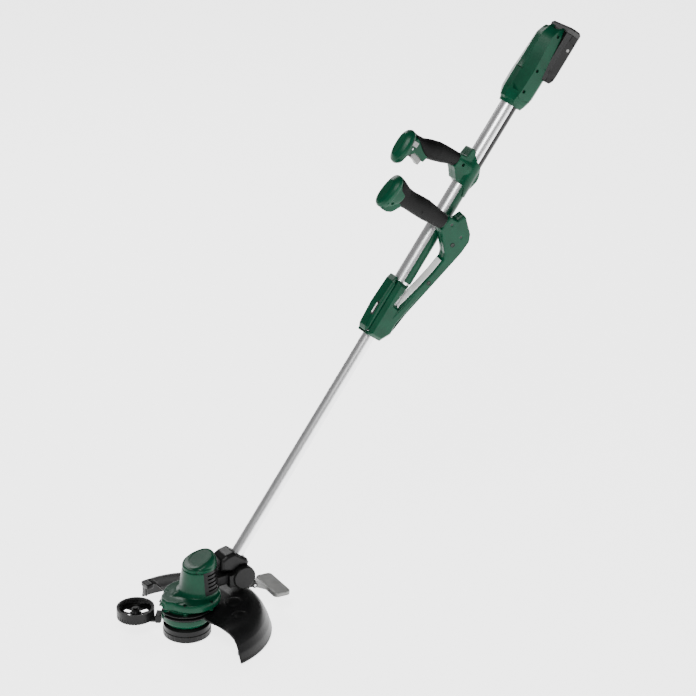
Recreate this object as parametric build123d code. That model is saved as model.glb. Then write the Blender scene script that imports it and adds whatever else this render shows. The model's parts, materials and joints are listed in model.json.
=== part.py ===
from build123d import *
import os
from math import atan2, cos, degrees, hypot, radians, sin

# Cordless string trimmer with a telescopic shaft, two forward pistol grips and a tilting cutting head.
# Millimetres.  +Z is up along the spool axis, the origin is the centre of the spool cap's bottom face,
# and the shaft leans back towards +X, where the user stands.  -Y is the user's left.

os.makedirs("parts", exist_ok=True)

# ---------------------------------------------------------------- driving dimensions

# Shaft: its own frame has Z up along the tubes and X away from the handles (down and back).
SHAFT_ANGLE = 52.9  # shaft above the cutting plane
TILT_X = 112.0  # tilt axis, parallel to Y
TILT_Z = 102.0
TILT_OFFSET = 25.0  # tilt axis to shaft axis

LOWER_TUBE_R = 12.5
UPPER_TUBE_R = 16.5
TUBE_WALL = 1.5
LOWER_TUBE_START = 4.0
LOWER_TUBE_END = 770.0
UPPER_TUBE_START = 560.0
UPPER_TUBE_END = 1100.0
NOTCH_FIRST = 394.0
NOTCH_PITCH = 27.4
NOTCH_COUNT = 6
NOTCH_DEPTH = 1.0
NOTCH_LENGTH = 4.0

RAIL_R = 18.6
RAIL_HALF_ANGLE = 112.0
RAIL_START = 643.0
RAIL_END = 880.0
CHANNEL_R = 17.8
CHANNEL_HALF_ANGLE = 88.0

# Lower housing, with the clamp lever on its front side.
HOUSING_START = 521.0
HOUSING_END = 640.0
HOUSING_R = 23.0
SLOT_END = 594.0  # the finger slot between the tube and the front handle's arm starts here
LEVER_SEAT = 19.0
LEVER_THICKNESS = 8.0
LEVER_WIDTH = 30.0
LEVER_PIN_R = 1.5
LEVER_PIN_REACH = 17.4
LEVER_START = 520.0
LEVER_END = 645.0

# Handles: both grips point forward, square to the shaft.
FRONT_LEAN = 8.6  # the arm leans to the user's left so that the front grip clears the tube
FRONT_LEAN_AT = 530.0
FRONT_GRIP_S = 782.0
REAR_GRIP_S = 884.0
GRIP_RUBBER = 3.0
COLLAR_R = 23.5
REAR_GRIP_DROOP = 9.0

REAR_TIP_S = REAR_GRIP_S - REAR_GRIP_DROOP
REAR_ROOT = 46.0
REAR_NECK = 112.0
REAR_FACE = 168.0
REAR_CAP_AT = 162.0
REAR_CAP_S = 858.5
FRONT_ROOT = 20.0
FRONT_NECK = 140.0
FRONT_FACE = 168.0
FRONT_CAP_S = 776.0
CAP_HALF_WIDE = 20.0
CAP_HALF_HIGH = 34.0
# Grip ovals: reach, height along the shaft, half width, half height.
FRONT_GRIP = (
    (FRONT_ROOT + 0.5, 781.0, 15.5, 15.5),
    (42.0, 781.5, 17.0, 16.5),
    (65.0, 782.0, 17.5, 19.2),
    (82.0, 782.5, 17.5, 19.7),
    (100.0, 782.0, 17.0, 18.7),
    (118.0, 781.5, 17.0, 18.6),
    (FRONT_NECK - 0.5, 781.5, 18.0, 22.0),
)
REAR_GRIP = (
    (REAR_ROOT + 0.5, 891.0, 14.5, 14.8),
    (62.0, 889.0, 16.0, 16.4),
    (80.0, 886.0, 17.5, 18.6),
    (96.0, 883.0, 18.0, 19.5),
    (REAR_NECK - 1.0, 880.0, 17.5, 18.6),
)

# Rear housing and battery.
REAR_START = 1032.0
REAR_END = 1200.0
BATTERY_LENGTH = 113.0
BATTERY_START = 1104.0
BATTERY_WIDTH = 74.0
BATTERY_TOP = -9.0
BATTERY_BOTTOM = -43.0
SHELL = 2.5

# Cutting head.
SPOOL_R = 46.5
SPOOL_CAP_H = 16.6
SPOOL_TOP = 30.5
GEAR_CASE_R = 48.0
GEAR_CASE_BOTTOM = 31.0
GEAR_CASE_TOP = 51.0
FLANGE_R = 56.0
FLANGE_X = 12.0
LOBE_ANGLE = 165.0  # the flange's front lobe points towards the wheel arm
FLANGE_BOTTOM = 70.0
MOTOR_X = 28.0
GEAR_MODULE = 1.0
PINION_TEETH = 12
GEAR_TEETH = 44
CAP_SPLIT = 138.0
SLANT = 20.0  # the cap's flat face leans forward
COLUMN_TOP = 166.0
GUARD_R = 163.0
GUARD_THICK = 2.6
GUARD_FROM = -79.0
GUARD_TO = 96.0
WHEEL_R = 36.5
WHEEL_X = -80.0
WHEEL_Y = 58.0
WHEEL_BOTTOM = 32.5
WHEEL_WIDTH = 20.0
BOSS_R = 23.5
BOSS_HALF = 30.0
KNUCKLE_HALF = 15.0
NECK_TOP = 113.0
NECK_LOW = 93.0
PEDAL_X = 138.0
PEDAL_Z = 74.0
PIN_CLEARANCE = 0.05
VENT_FROM = 92.0
VENT_TO = CAP_SPLIT
SCREW_PLACES = ((28, 48), (28, -48), (-22, 38), (-22, -38))

SHAFT_X = TILT_X - TILT_OFFSET * sin(radians(SHAFT_ANGLE))
SHAFT_Z = TILT_Z + TILT_OFFSET * cos(radians(SHAFT_ANGLE))
SHAFT = Pos(SHAFT_X, 0, SHAFT_Z) * Rot(0, 90 - SHAFT_ANGLE, 0)
FRONT = SHAFT * Pos(0, 0, FRONT_LEAN_AT) * Rot(FRONT_LEAN, 0, 0) * Pos(0, 0, -FRONT_LEAN_AT)


# ---------------------------------------------------------------- helpers


def save(shape, node):
    """Write one sub-part, as a single solid or a group of separate solids."""
    solids = shape.solids()
    out = solids[0] if len(solids) == 1 else Compound(children=list(solids))
    out.label = node
    export_step(out, f"parts/{node}.step")


def tube(radius, inner, start, end):
    """A hollow cylinder along Z."""
    body = Pos(0, 0, start) * Cylinder(radius, end - start, align=(Align.CENTER, Align.CENTER, Align.MIN))
    if inner > 0:
        bore = Pos(0, 0, start - 1) * Cylinder(
            inner, end - start + 2, align=(Align.CENTER, Align.CENTER, Align.MIN)
        )
        body = body - bore
    return body


def rod(radius, start, end, x=0.0, y=0.0):
    """A solid cylinder along Z at x, y."""
    return Pos(x, y, start) * Cylinder(radius, end - start, align=(Align.CENTER, Align.CENTER, Align.MIN))


def cross_rod(radius, y_from, y_to, x, z):
    """A solid cylinder along Y at x, z."""
    body = Cylinder(radius, y_to - y_from)
    return Pos(x, (y_from + y_to) / 2, z) * Rot(90, 0, 0) * body


def box(x_from, x_to, y_from, y_to, z_from, z_to):
    """A box between two corners."""
    centre = ((x_from + x_to) / 2, (y_from + y_to) / 2, (z_from + z_to) / 2)
    return Pos(*centre) * Box(x_to - x_from, y_to - y_from, z_to - z_from)


def side_plate(points, y_from, y_to):
    """An outline of (reach forward, height along shaft) points, thick from y_from to y_to."""
    outline = Polyline(*[(-reach, height) for reach, height in points], close=True)
    face = Plane.XZ * make_face(outline)
    return extrude(face, amount=y_to - y_from).moved(Location((0, y_to, 0)))


def half(shape, side):
    """The part of a shape on one side of the plane Y = 0, a seam's width from it."""
    seam = 0.05
    size = 4000
    y_from, y_to = (seam, size) if side > 0 else (-size, -seam)
    return shape & box(-size, size, y_from, y_to, -size, size)


def oval(reach, height, half_wide, half_high, lean=0.0):
    """An oval face square to a handle, half_wide in Y and half_high along the shaft."""
    facing = (-cos(radians(lean)), 0, sin(radians(lean)))
    plane = Plane(origin=(-reach, 0, height), x_dir=(0, 1, 0), z_dir=facing)
    return plane * Ellipse(half_wide, half_high)


def screw(length, head_r=2.6, shank_r=1.5):
    """A cross-head screw along Z, its head at the top and its tip at 0."""
    head = rod(head_r, length - 2.0, length)
    shank = rod(shank_r, 0, length - 2.0)
    cross = Pos(0, 0, length) * (Box(3.0, 0.6, 1.6) + Box(0.6, 3.0, 1.6))
    return head + shank - cross


def side_screw(reach, height, y_tip=-2.0, y_head=-14.0):
    """A screw into a handle from the user's left."""
    return Pos(-reach, y_tip, height) * Rot(90, 0, 0) * screw(y_tip - y_head)


def gear(teeth, module, width, bore_r):
    """A spur gear with straight-sided teeth, along Z from 0."""
    root = module * (teeth - 2.5) / 2
    tip = module * (teeth + 1.7) / 2
    step = 360 / teeth
    points = []
    for tooth in range(teeth):
        for turn, radius in ((-0.30, root), (-0.13, tip), (0.13, tip), (0.30, root)):
            angle = radians((tooth + turn) * step)
            points.append((radius * cos(angle), radius * sin(angle)))
    body = extrude(make_face(Polyline(*points, close=True)), amount=width)
    return body - rod(bore_r, -1, width + 1)


# ---------------------------------------------------------------- shaft tubes and rails


def lower_tube():
    """The telescopic inner tube, with a row of height notches on its front side."""
    body = tube(LOWER_TUBE_R, LOWER_TUBE_R - TUBE_WALL, LOWER_TUBE_START, LOWER_TUBE_END)
    for index in range(NOTCH_COUNT):
        middle = NOTCH_FIRST + NOTCH_PITCH * index
        reach = LOWER_TUBE_R - NOTCH_DEPTH
        low, high = middle - NOTCH_LENGTH / 2, middle + NOTCH_LENGTH / 2
        body -= box(-LOWER_TUBE_R - 1, -reach, -20, 20, low, high)
    return body


def under_strip(inner, outer, start, end, half_angle):
    """A curved strip on the underside of the upper tube."""
    ring = tube(outer, inner, start, end)
    reach = outer + 2
    sides = []
    for side in (1, -1):
        angle = radians(half_angle)
        sides.append((reach * 2 * cos(angle), side * reach * 2 * sin(angle)))
    far = reach * 3
    wedge = Polyline((0, 0), sides[0], (far, sides[0][1]), (far, sides[1][1]), sides[1], close=True)
    return ring & (Pos(0, 0, start) * extrude(make_face(wedge), amount=end - start))


# ---------------------------------------------------------------- lower housing and clamp lever


def lower_housing():
    """The housing round the telescopic joint, before it is split in two shells."""
    front = LEVER_SEAT
    outline = [
        (front, HOUSING_START),
        (front, HOUSING_END),
        (-10, HOUSING_END),
        (-3, SLOT_END + 3),
        (-HOUSING_R - 6, SLOT_END),
        (-HOUSING_R - 9, HOUSING_START + 22),
        (-HOUSING_R + 6, HOUSING_START),
    ]
    slab = side_plate(outline, -HOUSING_R, HOUSING_R)
    long_edges = slab.edges().filter_by(Axis.Y, reverse=True)
    slab = chamfer(long_edges, 7.0)
    slab -= rod(LOWER_TUBE_R + 1.2, HOUSING_START - 1, UPPER_TUBE_START)
    slab -= rod(UPPER_TUBE_R + 0.05, UPPER_TUBE_START - 0.1, HOUSING_END + 1)
    # a slot for the lever's clamp nose, and its hinge pin
    slab -= box(-front - 1, 0, -9, 9, HOUSING_START + 18, UPPER_TUBE_START - 6)
    slab -= cross_rod(LEVER_PIN_R, -40, 40, -LEVER_PIN_REACH, HOUSING_START + 8)
    slab -= box(-front - 1, -front + 9, -9, 9, HOUSING_START + 2, HOUSING_START + 18.5)
    return slab


def clamp_lever():
    """The saddle-shaped lever that locks the inner tube."""
    seat = LEVER_SEAT + 0.4
    outline = [
        (seat, LEVER_START + 14),
        (seat + 3.5, LEVER_START + 5.5),
        (seat + LEVER_THICKNESS, LEVER_START + 14),
        (seat + LEVER_THICKNESS + 3, LEVER_START + 60),
        (seat + LEVER_THICKNESS, LEVER_END - 12),
        (seat + 4, LEVER_END),
        (seat, LEVER_END - 4),
    ]
    wide = LEVER_WIDTH / 2
    body = side_plate(outline, -wide, wide)
    rim = body.edges().filter_by(Axis.Y, reverse=True).filter_by(lambda e: e.center().X < -seat - 3)
    body = chamfer(rim, 4.0)
    eye_z = HOUSING_START + 8
    eye = cross_rod(4.2, -8.5, 8.5, -LEVER_PIN_REACH, eye_z)
    neck = box(-seat - 4, -LEVER_PIN_REACH, -8.5, 8.5, eye_z - 1, eye_z + 6)
    nose = box(-seat - 2, -LOWER_TUBE_R - 1.6, -8.0, 8.0, HOUSING_START + 20, HOUSING_START + 30)
    body = body + eye + neck + nose
    body -= cross_rod(LEVER_PIN_R + PIN_CLEARANCE, -40, 40, -LEVER_PIN_REACH, eye_z)
    # finger recess under the free end
    body -= box(-seat - 3, -seat + 1, -wide - 1, wide + 1, LEVER_END - 14, LEVER_END + 2)
    return body


# ---------------------------------------------------------------- handles


def grip(sections, shrink=0.0):
    """A hand grip through (reach, height, half width, half height) ovals, thinner by shrink all round."""
    rings = [oval(reach, height, wide - shrink, high - shrink) for reach, height, wide, high in sections]
    return loft(rings)


def rear_handle_body():
    """Collar round the upper tube, grip core and switch box, before it is split in two shells."""
    collar = loft(
        [
            Pos(0, 0, REAR_GRIP_S - 42) * Circle(COLLAR_R - 2.5),
            Pos(0, 0, REAR_GRIP_S - 5) * Circle(COLLAR_R),
            Pos(0, 0, REAR_GRIP_S + 30) * Circle(COLLAR_R - 3.0),
        ]
    )
    bridge_points = [
        (0, REAR_GRIP_S + 26),
        (REAR_ROOT, REAR_GRIP_S + 18),
        (REAR_ROOT, REAR_GRIP_S - 17),
        (24, REAR_GRIP_S - 22),
        (0, REAR_GRIP_S - 38),
    ]
    bridge = side_plate(bridge_points, -15, 15)
    bridge = chamfer(bridge.edges().filter_by(Axis.Y, reverse=True), 5.0)
    fin_top = REAR_GRIP_S + 42
    fin_points = [(8, REAR_GRIP_S + 20), (30, REAR_GRIP_S + 18), (24, fin_top), (19, fin_top)]
    fin = side_plate(fin_points, -5, 5)
    core_ends = ((REAR_ROOT - 8, 892.0, 14.5, 14.5), (REAR_NECK + 4, 879.0, 17.0, 18.0))
    core = grip((core_ends[0],) + REAR_GRIP + (core_ends[1],), GRIP_RUBBER)
    switch_box = loft(
        [
            oval(REAR_NECK, REAR_TIP_S + 4.5, 17, 18.4),
            oval(REAR_NECK + 26, REAR_TIP_S - 2, 18, 21),
            oval(REAR_CAP_AT - 11, REAR_CAP_S + 3, 19, 30),
            oval(REAR_CAP_AT, REAR_CAP_S, CAP_HALF_WIDE, CAP_HALF_HIGH),
        ]
    )
    body = collar + bridge + fin + core + switch_box
    body -= rod(UPPER_TUBE_R + 0.02, REAR_GRIP_S - 80, REAR_GRIP_S + 80)
    inner = UPPER_TUBE_R - 1
    body -= under_strip(inner, RAIL_R + 0.05, REAR_GRIP_S - 80, RAIL_END + 0.1, RAIL_HALF_ANGLE + 1)
    body -= under_strip(inner, CHANNEL_R + 0.05, RAIL_END, REAR_GRIP_S + 80, CHANNEL_HALF_ANGLE + 2)
    # hollow for the switch, the trigger and the lock-off button
    body -= box(-REAR_FACE + 13, -REAR_NECK + 6, -11, 11, REAR_TIP_S - 15, REAR_TIP_S + 9)
    body -= box(-REAR_FACE + 14, -REAR_NECK + 2, -6.3, 6.3, REAR_TIP_S - 60, REAR_TIP_S)
    body -= cross_rod(2.0, -12.5, 12.5, -REAR_FACE + 18, REAR_TIP_S - 12)
    body -= box(-REAR_NECK - 37, -REAR_NECK - 25, -40, -10, REAR_TIP_S - 7, REAR_TIP_S + 3)
    return body


def front_handle_body():
    """Arm, knuckle and grip core of the front handle, before it is split in two shells."""
    arm_points = [
        (-HOUSING_R - 4, HOUSING_START + 26),
        (-11, SLOT_END + 2),
        (-17, 627),
        (-22, 654),
        (-27, 690),
        (-28.5, 722),
        (-23, 732),
        (-4, 748),
        (6, 757),
        (FRONT_ROOT, 766),
        (FRONT_ROOT, 797),
        (0, 798),
        (-7, 814),
        (-13, 812),
        (-30, 800),
        (-45, 790),
        (-54, 776),
        (-55, 750),
        (-46, 676),
        (-HOUSING_R - 12.5, SLOT_END),
        (-HOUSING_R - 11, HOUSING_START + 30),
    ]
    arm = side_plate(arm_points, -13, 13)
    arm = chamfer(arm.edges().filter_by(Axis.Y, reverse=True), 2.0)
    core_ends = ((FRONT_ROOT - 8, 781.0, 15.5, 15.5), (FRONT_NECK + 4, 780.0, 18.0, 22.0))
    core = grip((core_ends[0],) + FRONT_GRIP + (core_ends[1],), GRIP_RUBBER)
    head = loft(
        [
            oval(FRONT_NECK, FRONT_GRIP_S - 1, 18, 22),
            oval(FRONT_NECK + 12, FRONT_CAP_S + 1, 19, 31),
            oval(FRONT_FACE - 4, FRONT_CAP_S, CAP_HALF_WIDE, CAP_HALF_HIGH),
        ]
    )
    return arm + core + head


def end_cap(reach, height, half_wide, half_high, lean):
    """The slightly domed oval cap on the end of a handle."""
    tilt = radians(lean)
    outer = [oval(reach, height, half_wide, half_high, lean)]
    outer.append(oval(reach + 6 * cos(tilt), height + 6 * sin(tilt), half_wide, half_high, lean))
    outer.append(oval(reach + 10 * cos(tilt), height + 10 * sin(tilt), half_wide - 5, half_high - 5, lean))
    return loft(outer, ruled=True)


def trigger():
    """The finger trigger, hinged at its front end."""
    pivot_x = -REAR_FACE + 18
    pivot_z = REAR_TIP_S - 12
    points = [
        (-pivot_x + 3, pivot_z + 3),
        (REAR_NECK + 8, pivot_z + 3),
        (REAR_NECK + 1, pivot_z - 6),
        (REAR_NECK + 4, pivot_z - 21),
        (REAR_NECK + 12, pivot_z - 17),
        (REAR_NECK + 26, pivot_z - 14),
        (-pivot_x + 3, pivot_z - 4),
    ]
    body = side_plate(points, -6, 6)
    body = fillet(body.edges().filter_by(Axis.Y).group_by(Axis.Z)[0], 2.0)
    return body - cross_rod(2.0 + PIN_CLEARANCE, -20, 20, pivot_x, pivot_z)


# ---------------------------------------------------------------- rear housing and battery


def rear_housing():
    """The upper housing that takes the battery, before it is split in two shells."""
    points = [
        (20, REAR_START + 8),
        (27, REAR_START + 24),
        (27, REAR_START + 58),
        (23.5, REAR_START + 72),
        (23.5, REAR_END - 14),
        (14, REAR_END),
        (2, REAR_END + 5),
        (BATTERY_TOP + 0.4, REAR_END + 1),
        (BATTERY_TOP + 0.4, BATTERY_START - 1),
        (-21, BATTERY_START - 1),
        (-21, REAR_START + 24),
        (-18, REAR_START + 8),
    ]
    body = side_plate(points, -25, 25)
    body = chamfer(body.edges().filter_by(Axis.Y, reverse=True), 5.0)
    mouth = loft([Pos(0, 0, REAR_START) * Circle(19.5), Pos(0, 0, REAR_START + 30) * Circle(24.0)])
    body += mouth
    inner_points = [
        (20, REAR_START + 70),
        (20.5, REAR_START + 80),
        (20.5, REAR_END - 16),
        (14, REAR_END - 5),
        (-4, REAR_END - 3),
        (-5, REAR_START + 70),
    ]
    body -= side_plate(inner_points, -21, 21)
    body -= rod(UPPER_TUBE_R + 0.02, REAR_START - 1, UPPER_TUBE_END + 0.5)
    groove = (REAR_START - 1, REAR_START + 12.2, CHANNEL_HALF_ANGLE + 2)
    body -= under_strip(UPPER_TUBE_R - 1, CHANNEL_R + 0.05, *groove)
    # two grooves that the battery's rails run in
    for side in (1, -1):
        y_from, y_to = sorted((side * 13.0, side * 17.4))
        body -= box(-BATTERY_TOP - 5.0, -BATTERY_TOP + 0.1, y_from, y_to, BATTERY_START + 4, REAR_END + 20)
    body -= box(-BATTERY_TOP - 4.6, -BATTERY_TOP + 0.1, -8.0, 8.0, BATTERY_START + 10, BATTERY_START + 32)
    return body


def battery_case():
    """The slide-on battery's case: a hollow box with chamfered sides and two rails."""
    start = BATTERY_START
    end = BATTERY_START + BATTERY_LENGTH
    wide = BATTERY_WIDTH / 2
    points = [
        (BATTERY_TOP, start),
        (BATTERY_TOP, end - 12),
        (BATTERY_BOTTOM, end - 12),
        (BATTERY_BOTTOM, start + 20),
        (BATTERY_BOTTOM + 14, start),
    ]
    body = side_plate(points, -wide, wide)
    body = chamfer(body.edges().filter_by(Axis.Z), 9.0)
    hollow = [
        (BATTERY_TOP - 3, start + 4),
        (BATTERY_TOP - 3, end - 11),
        (BATTERY_BOTTOM + 3, end - 11),
        (BATTERY_BOTTOM + 3, start + 22),
        (BATTERY_BOTTOM + 15, start + 4),
    ]
    body -= side_plate(hollow, -wide + 8, wide - 8)
    for side in (1, -1):
        y_from, y_to = sorted((side * 13.2, side * 17.2))
        body += box(-BATTERY_TOP - 4.6, -BATTERY_TOP + 0.5, y_from, y_to, start + 6, end - 20)
    body -= box(-BATTERY_BOTTOM - 8.2, -BATTERY_BOTTOM + 1, -15, 15, end - 30, end - 12.0)
    body -= box(-BATTERY_TOP - 1, -BATTERY_TOP + 4, -7.5, 7.5, start + 12, start + 30)
    return body


def battery_lid():
    """The battery's end lid."""
    end = BATTERY_START + BATTERY_LENGTH
    wide = BATTERY_WIDTH / 2
    body = box(-BATTERY_TOP, -BATTERY_BOTTOM, -wide, wide, end - 12, end)
    body = chamfer(body.edges().filter_by(Axis.Z), 9.0)
    body = chamfer(body.faces().sort_by(Axis.Z)[-1].edges(), 4.0)
    return body - box(-BATTERY_BOTTOM - 8.2, -BATTERY_BOTTOM + 1, -15, 15, end - 12.1, end - 10.4)


# ---------------------------------------------------------------- cutting head


def ring_profile(points):
    """A solid turned about Z from (radius, height) points."""
    face = Plane.XZ * make_face(Polyline(*points, close=True))
    return revolve(face, Axis.Z)


def column(grow=0.0, bottom=FLANGE_BOTTOM, top=COLUMN_TOP):
    """The leaning round motor column, thinner by -grow all round."""
    sections = []
    for height, middle, radius in (
        (FLANGE_BOTTOM, MOTOR_X - 1, 38.5),
        (100.0, MOTOR_X, 37.5),
        (CAP_SPLIT, MOTOR_X + 2, 32.0),
        (156.0, MOTOR_X + 4, 27.0),
        (COLUMN_TOP + 8, MOTOR_X + 6, 17.0),
    ):
        sections.append(Pos(middle, 0, height) * Circle(radius + grow))
    return loft(sections, ruled=True) & box(-100, 200, -100, 100, bottom, top)


def motor_shell():
    """Flange and column with their hollow, before the vents and the cap are cut off."""
    flange = ring_profile(
        [(0, FLANGE_BOTTOM), (FLANGE_R, FLANGE_BOTTOM), (FLANGE_R, 81), (52, 88), (44, 92.5), (0, 96)]
    ).moved(Location((FLANGE_X, 0, 0)))
    lobe = chamfer(box(10, 53, -21, 21, FLANGE_BOTTOM, 86).edges().group_by(Axis.Z)[-1], 4.0)
    flange += Rot(0, 0, LOBE_ANGLE) * lobe
    flange_hollow = ring_profile(
        [
            (0, FLANGE_BOTTOM - 1), (FLANGE_R - 3, FLANGE_BOTTOM - 1), (FLANGE_R - 3, 80),
            (49.5, 86), (42, 90), (0, 93),
        ]
    ).moved(Location((FLANGE_X, 0, 0)))
    shell = flange + column()
    shell -= flange_hollow
    shell -= column(-SHELL, FLANGE_BOTTOM - 1, COLUMN_TOP)
    return shell


def vent_region():
    """The back half of the column, where the black vent panel sits."""
    back = box(MOTOR_X - 6, 90, -60, 60, VENT_FROM, VENT_TO)
    return back & column(1.0)


def motor_housing():
    """The green flange and the front of the column."""
    shell = motor_shell() & box(-100, 100, -100, 100, FLANGE_BOTTOM, CAP_SPLIT - 0.1)
    shell -= box(MOTOR_X - 6.1, 90, -60, 60, VENT_FROM - 0.1, VENT_TO + 1)
    # bridge down to the gear case at the front, beside the guard's collar
    bridge = ring_profile([(48.5, GEAR_CASE_TOP + 0.1), (53, GEAR_CASE_TOP + 0.1), (53, 71), (48.5, 71)])
    bridge &= Rot(0, 0, LOBE_ANGLE) * box(20, 90, -20, 20, 0, 100)
    for x, y in SCREW_PLACES:
        shell += rod(4.6, FLANGE_BOTTOM + 0.2, 84, x, y) & rod(FLANGE_R - 1, 0, 84, FLANGE_X)
    for x, y in SCREW_PLACES:
        shell -= rod(1.55, 60, 81.1, x, y)
        shell -= rod(2.7, 81, 120, x, y)
    return shell + bridge


def vent_panel():
    """The black louvred panel round the back of the column."""
    panel = vent_region() & motor_shell()
    panel -= box(MOTOR_X + 22, 90, -19.9, 19.9, VENT_FROM - 1, VENT_TO - 22.0)
    for index in range(5):
        z = VENT_FROM + 7 + 7.5 * index
        for side in (1, -1):
            y_from, y_to = sorted((side * 22, side * 60))
            panel -= box(MOTOR_X + 2, MOTOR_X + 24, y_from, y_to, z, z + 3.0)
    return panel


def motor_cap():
    """The green top of the column, with a flat slanted face."""
    slant = Pos(MOTOR_X + 7, 0, COLUMN_TOP - 7) * Rot(0, -SLANT, 0)
    outer = column(0, CAP_SPLIT, COLUMN_TOP + 8) - slant * box(-80, 80, -60, 60, 0, 60)
    inner = column(-SHELL, CAP_SPLIT - 1, COLUMN_TOP + 8) - slant * box(-80, 80, -60, 60, -SHELL, 60)
    lip = tube(33.0, 29.6, CAP_SPLIT, CAP_SPLIT + 3.0).moved(Location((MOTOR_X + 2, 0, 0)))
    return outer - inner + lip


def gear_case():
    """The green lower ring and floor that carry the lower bearing."""
    cup = ring_profile(
        [
            (8.1, GEAR_CASE_BOTTOM),
            (40, GEAR_CASE_BOTTOM),
            (GEAR_CASE_R, GEAR_CASE_BOTTOM + 9),
            (GEAR_CASE_R, GEAR_CASE_TOP),
            (GEAR_CASE_R - 4, GEAR_CASE_TOP),
            (GEAR_CASE_R - 4, GEAR_CASE_BOTTOM + 10),
            (38.5, GEAR_CASE_BOTTOM + 3),
            (14, GEAR_CASE_BOTTOM + 3),
            (14, GEAR_CASE_BOTTOM + 11),
            (11.05, GEAR_CASE_BOTTOM + 11),
            (11.05, GEAR_CASE_BOTTOM + 3.6),
            (8.1, GEAR_CASE_BOTTOM + 3.6),
        ]
    )
    rim = tube(GEAR_CASE_R - 4.2, GEAR_CASE_R - 7, GEAR_CASE_TOP - 4, FLANGE_BOTTOM - 0.1)
    cup += tube(GEAR_CASE_R - 3.9, GEAR_CASE_R - 7, GEAR_CASE_TOP - 6, GEAR_CASE_TOP - 3)
    cup += rim
    for x, y in SCREW_PLACES:
        ear = rod(4.5, FLANGE_BOTTOM - 4, FLANGE_BOTTOM - 0.05, x, y)
        place = Pos(x * 0.88, y * 0.88, FLANGE_BOTTOM - 2.05) * Rot(0, 0, degrees(atan2(y, x)))
        web = place * Box(14, 6, 3.9)
        cup += (ear + web) - rod(GEAR_CASE_R - 6.9, 0, 100)
        cup -= rod(1.55, 60, 80, x, y)
    return cup


def guard():
    """The cutting guard: a collar plate, a sloping deck and a curved skirt."""
    top = [(50, 57), (108, 57), (128, 55), (142, 50), (151, 40), (158, 24), (GUARD_R, 5)]
    low = [(GUARD_R - GUARD_THICK, 5), (155, 23), (148, 38), (140, 47), (127, 52), (107, 54), (50, 54)]
    face = Plane.XZ * make_face(Polyline(*(top + low), close=True))
    sweep = revolve(face, Axis.Z, revolution_arc=GUARD_TO - GUARD_FROM)
    turned = sweep.solids()[0]
    middle_angle = degrees(atan2(turned.center().Y, turned.center().X))
    skirt = Rot(0, 0, (GUARD_FROM + GUARD_TO) / 2 - middle_angle) * turned
    collar = ring_profile(
        [
            (44.2, 51.4), (48, 51.4), (48, 54), (54, 54), (54, 58),
            (48, 58), (48, 62), (54, 62), (54, 65), (44.2, 65),
        ]
    )
    collar -= Rot(0, 0, LOBE_ANGLE) * box(-2, 90, -20.5, 20.5, 0, 100)
    lip = revolve(
        Plane.XZ * make_face(
            Polyline((GUARD_R - 4, 3.5), (GUARD_R, 3.5), (GUARD_R, 8), (GUARD_R - 4, 8), close=True)
        ),
        Axis.Z,
        revolution_arc=GUARD_TO - GUARD_FROM,
    ).solids()[0]
    lip_angle = degrees(atan2(lip.center().Y, lip.center().X))
    lip = Rot(0, 0, (GUARD_FROM + GUARD_TO) / 2 - lip_angle) * lip
    body = skirt + collar + lip
    stub = Rot(0, 0, GUARD_TO) * box(116, 140, -0.5, 14, 44, 54.5)
    stub += Rot(0, 0, GUARD_TO) * box(126, 140, 8, 12, 24, 50)
    body += stub
    rib = side_plate([(-140, 10), (-150, 10), (-156, 22), (-146, 37.5), (-136, 40), (-140, 30)], -3, -1)
    body += Rot(0, 0, GUARD_FROM + 5) * rib
    for x, y in SCREW_PLACES:
        body -= rod(4.9, 56, 80, x, y)
    return body


def wheel_arm():
    """The black arm that holds the edging wheel, with the wheel's pin."""
    angle = degrees(atan2(WHEEL_Y, WHEEL_X))
    reach = hypot(WHEEL_X, WHEEL_Y)
    root = box(GEAR_CASE_R + 0.2, 59.5, -11, 11, 26, 41)
    root += box(50, 59.5, -11, 11, 24.5, 31)
    foot = box(52, reach, -8, 8, 24.5, 30.0)
    eye = rod(9.0, 24.5, 30.0, reach, 0)
    pin = rod(3.5, 29.0, WHEEL_BOTTOM + WHEEL_WIDTH - 3.2, reach, 0)
    washer = rod(6.5, 29.0, WHEEL_BOTTOM - 0.1, reach, 0)
    arm = root + foot + eye + pin + washer
    arm -= rod(GEAR_CASE_R + 0.15, 0, 100)
    return Rot(0, 0, angle) * arm


def wheel_tyre():
    """The ribbed outer rim of the edging wheel."""
    body = tube(WHEEL_R, WHEEL_R - 4.0, WHEEL_BOTTOM, WHEEL_BOTTOM + WHEEL_WIDTH)
    for index in range(36):
        notch = box(WHEEL_R - 0.9, WHEEL_R + 1, -0.9, 0.9, WHEEL_BOTTOM - 1, WHEEL_BOTTOM + 9)
        body -= Rot(0, 0, index * 10.0) * notch
    return Pos(WHEEL_X, WHEEL_Y, 0) * body


def wheel_hub():
    """Six spokes, a hub and an inner rim."""
    low = WHEEL_BOTTOM + 0.6
    body = tube(WHEEL_R - 4.0, WHEEL_R - 6.5, low, WHEEL_BOTTOM + WHEEL_WIDTH - 1)
    body += rod(8.5, low, WHEEL_BOTTOM + WHEEL_WIDTH - 4)
    disc = tube(WHEEL_R - 5, 7, low + 3.0, low + 6.0)
    for index in range(6):
        spoke_gap = Rot(0, 0, index * 60.0) * Pos(18.5, 0, low) * extrude(Rectangle(14.5, 10.5), amount=8)
        disc -= spoke_gap
    body += disc
    body -= rod(3.5 + PIN_CLEARANCE, 0, 100)
    return Pos(WHEEL_X, WHEEL_Y, 0) * body


def wheel_clip():
    """The push-on cap at the end of the wheel's pin."""
    top = WHEEL_BOTTOM + WHEEL_WIDTH
    body = rod(5.0, top - 3.2, top - 1.2)
    return Pos(WHEEL_X, WHEEL_Y, 0) * body


# ---------------------------------------------------------------- neck and tilt knuckle


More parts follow.
